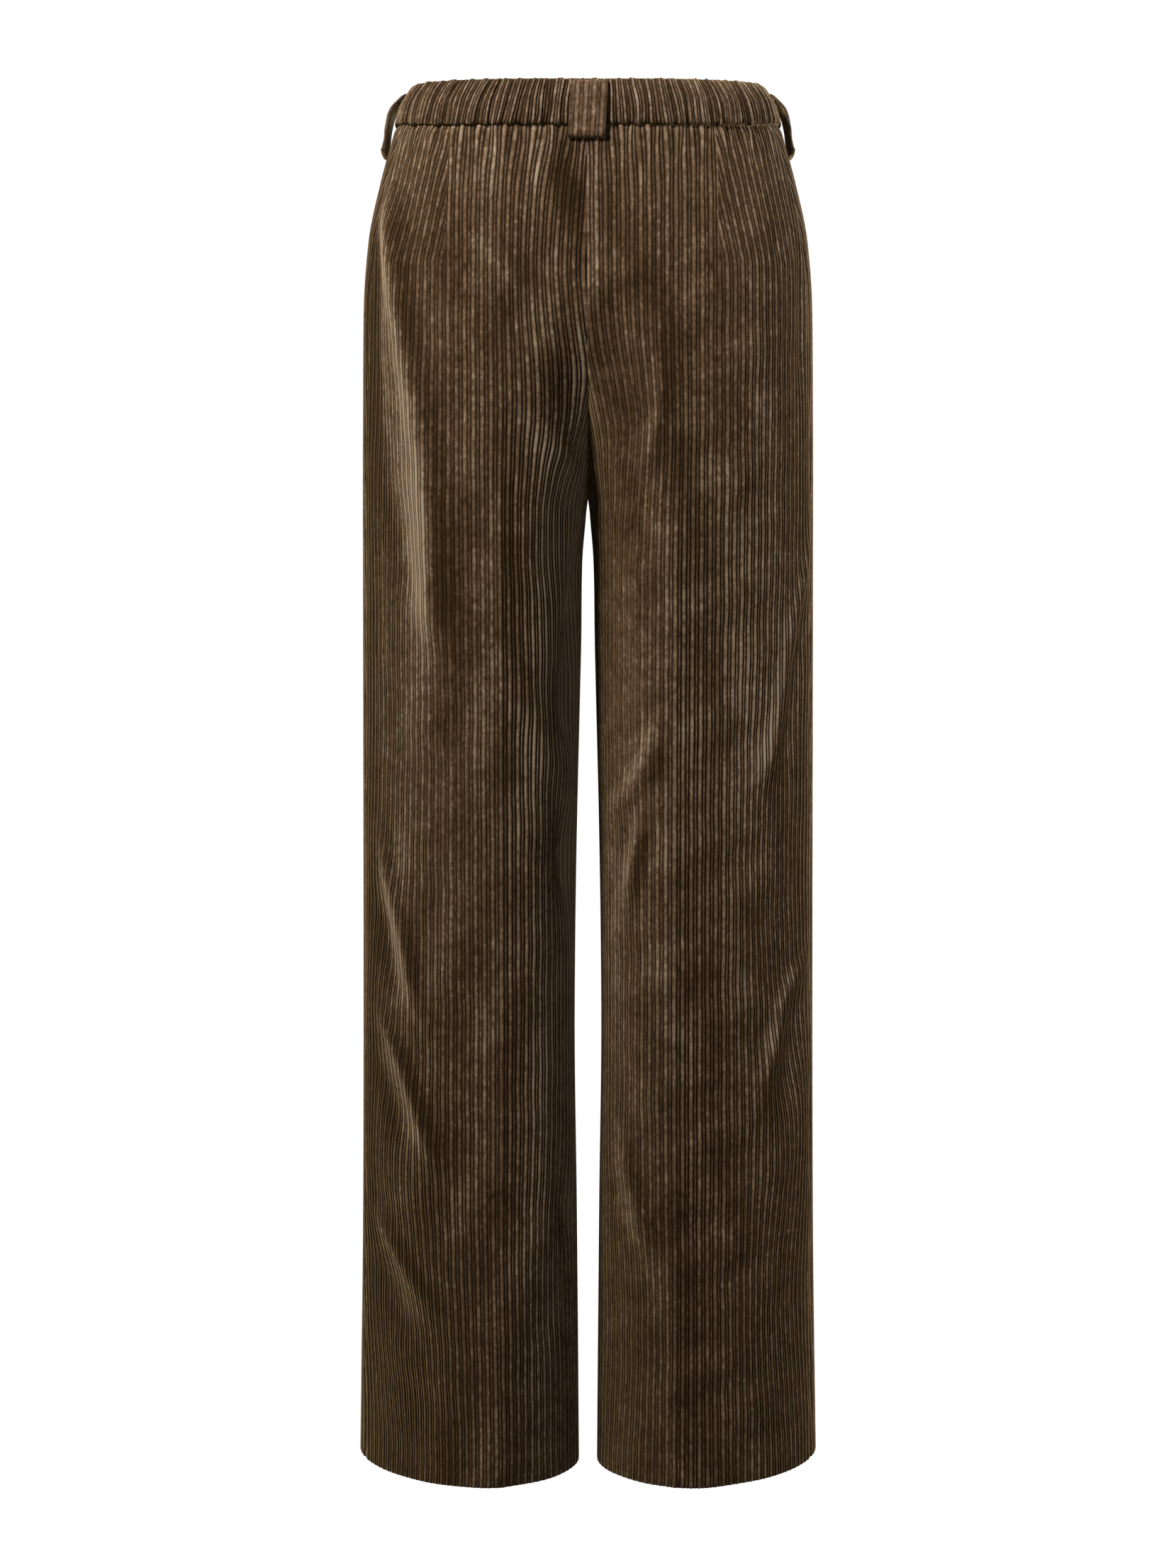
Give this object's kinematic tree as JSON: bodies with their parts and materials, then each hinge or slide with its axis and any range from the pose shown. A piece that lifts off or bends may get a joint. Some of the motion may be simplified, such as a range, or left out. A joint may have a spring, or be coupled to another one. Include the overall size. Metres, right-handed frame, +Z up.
{
  "type": "corduroy trousers",
  "caption": "Wide-leg corduroy trousers with an elasticated back waistband, back darts, belt loops, pressed creases and a lapped front, filled out as if worn.",
  "frame": {"origin": "centre of the waist, half way up the waistband, where the wearer's waist holds the trousers", "axes": "+Z up, +X to the wearer's left, the wearer faces -Y, so the gathered back of the waistband is towards +Y"},
  "size_m": [0.3776, 0.2331, 1.1149],
  "materials": {
    "corduroy": "dark brown corduroy, alternating wide and narrow wales, soft pile with a low sheen",
    "waistband_corduroy": "the same corduroy, gathered on elastic at the back",
    "loop_corduroy": "the same corduroy, folded double, its pile lying lighter",
    "button": "dark brown horn-look resin, satin"
  },
  "bodies": {
    "root": {"back_left": "corduroy", "back_right": "corduroy", "front_left": "corduroy", "front_right": "corduroy", "waistband_back": "waistband_corduroy", "waistband_front_left": "waistband_corduroy", "waistband_front_right": "waistband_corduroy", "belt_loop_back": "loop_corduroy", "belt_loop_side_left": "loop_corduroy", "belt_loop_side_right": "loop_corduroy", "belt_loop_front_left": "loop_corduroy", "belt_loop_front_right": "loop_corduroy", "fly_flap": "corduroy", "waist_button": "button"}
  },
  "joints": []
}
